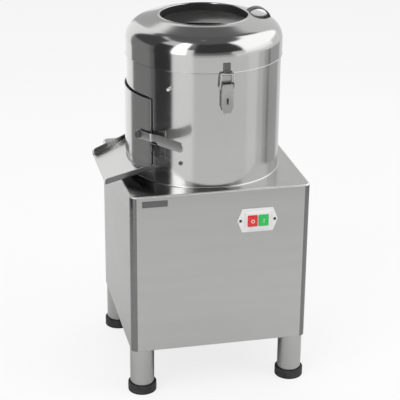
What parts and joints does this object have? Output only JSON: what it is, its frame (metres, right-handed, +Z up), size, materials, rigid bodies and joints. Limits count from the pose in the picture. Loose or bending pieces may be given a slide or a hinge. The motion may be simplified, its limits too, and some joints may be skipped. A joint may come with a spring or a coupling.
{
  "type": "electric potato peeler",
  "caption": "Floor-standing electric potato peeler: steel cabinet on legs, abrasive drum with spinning wave disc, belt drive, discharge door with chute, and hinged lid.",
  "frame": {"origin": "on the floor, midway between the four feet and on the axis of the drum", "axes": "+Z up, +X to the right seen from the front, the switch side faces -Y, the chute leaves towards -X"},
  "size_m": [0.4647, 0.4467, 0.872],
  "materials": {
    "brushed_sheet": "brushed",
    "polished_sheet": "satin polished",
    "plain_steel": "machined",
    "zinc_fastener": "bright",
    "painted_frame": "satin",
    "cast_part": "cast",
    "cast_aluminium": "cast",
    "motor_paint": "satin",
    "black_rubber": "matt",
    "grit": "coarse grit",
    "black_plastic": "matt",
    "white_plastic": "gloss",
    "red_plastic": "gloss",
    "green_plastic": "gloss",
    "grey_plastic": "matt",
    "badge_plate": "satin anodised"
  },
  "bodies": {
    "frame": {"front_sheet": "brushed_sheet", "side_sheets": "brushed_sheet", "back_sheet": "brushed_sheet", "corner_posts": "brushed_sheet", "deck_sheet": "brushed_sheet", "service_panel": "brushed_sheet", "base_frame": "painted_frame", "legs": "brushed_sheet", "feet": "black_rubber", "frame_fasteners": "zinc_fastener", "side_rails": "painted_frame", "drive_plate": "painted_frame", "deck_stiffener": "painted_frame", "bearing_housing": "cast_part", "shaft_bearings": "plain_steel", "shaft_seal": "black_rubber", "drive_belt": "black_rubber", "motor_end_bells": "motor_paint", "motor_stator": "motor_paint", "motor_fan_cover": "motor_paint", "terminal_box": "black_plastic", "run_capacitor": "grey_plastic", "drum_shell": "brushed_sheet", "drum_floor": "brushed_sheet", "abrasive_liner": "grit", "liner_studs": "zinc_fastener", "drain_pipe": "polished_sheet", "discharge_chute": "brushed_sheet", "drum_hinge_leaves": "polished_sheet", "hinge_pins": "zinc_fastener", "door_catch": "polished_sheet", "drum_lid_hinge": "polished_sheet", "latch_base": "polished_sheet", "switch_plate": "white_plastic", "switch_body": "black_plastic", "blank_badge": "badge_plate", "inlets": "polished_sheet"},
    "spindle": {"main_shaft": "plain_steel", "peeling_disc": "cast_aluminium", "disc_grit": "grit", "disc_nut": "zinc_fastener", "large_pulley": "cast_part", "pulley_nut": "zinc_fastener"},
    "motor_rotor": {"motor_pulley": "cast_part", "motor_shaft": "plain_steel", "motor_fan": "black_plastic"},
    "door": {"door_panel": "brushed_sheet", "door_seal": "black_rubber", "door_hinge_leaves": "polished_sheet", "lever_bolt": "zinc_fastener"},
    "lever": {"door_lever": "polished_sheet"},
    "lid": {"lid_shell": "polished_sheet", "lid_gasket": "black_rubber", "lid_handle": "polished_sheet", "lid_hinge_leaf": "polished_sheet", "latch_keeper": "polished_sheet"},
    "latch": {"latch_lever": "polished_sheet"},
    "bail": {"latch_bail": "polished_sheet"},
    "stop": {"stop_button": "red_plastic"},
    "start": {"start_button": "green_plastic"}
  },
  "joints": [
    {"name": "disc_spin", "type": "hinge", "parent": "frame", "child": "spindle", "pos_m": [0, 0, 0.4], "axis": [0, 0, 1], "continuous": true},
    {"name": "motor_spin", "type": "hinge", "parent": "frame", "child": "motor_rotor", "pos_m": [0.10569, 0.08559, 0.3], "axis": [0, 0, 1], "continuous": true},
    {"name": "door_swing", "type": "hinge", "parent": "frame", "child": "door", "pos_m": [-0.1467, 0.11964, 0.545], "axis": [0, 0, -1], "range_deg": [0, 110]},
    {"name": "lever_lift", "type": "hinge", "parent": "door", "child": "lever", "pos_m": [-0.16653, -0.08485, 0.613], "axis": [-0.891, -0.454, 0], "range_deg": [0, 50]},
    {"name": "lid_tilt", "type": "hinge", "parent": "frame", "child": "lid", "pos_m": [-0.0116, 0.18965, 0.772], "axis": [-0.9981, -0.061, 0], "range_deg": [0, 85]},
    {"name": "latch_turn", "type": "hinge", "parent": "frame", "child": "latch", "pos_m": [0.01148, -0.18765, 0.75], "axis": [-0.9981, -0.061, 0], "range_deg": [0, 110]},
    {"name": "bail_swing", "type": "hinge", "parent": "latch", "child": "bail", "pos_m": [0.01148, -0.18765, 0.743], "axis": [-0.9981, -0.061, 0], "range_deg": [-140, 0]},
    {"name": "stop_press", "type": "slide", "parent": "frame", "child": "stop", "axis": [0, 1, 0], "range_m": [0, 0.0025], "stiffness_N_per_m": 400, "springref_m": -0.001},
    {"name": "start_press", "type": "slide", "parent": "frame", "child": "start", "axis": [0, 1, 0], "range_m": [0, 0.0025], "stiffness_N_per_m": 400, "springref_m": -0.001}
  ],
  "couplings": [
    {"joint": "motor_spin", "follows": "disc_spin", "ratio": 3.4506},
    {"joint": "bail_swing", "follows": "latch_turn", "ratio": -1.25}
  ]
}
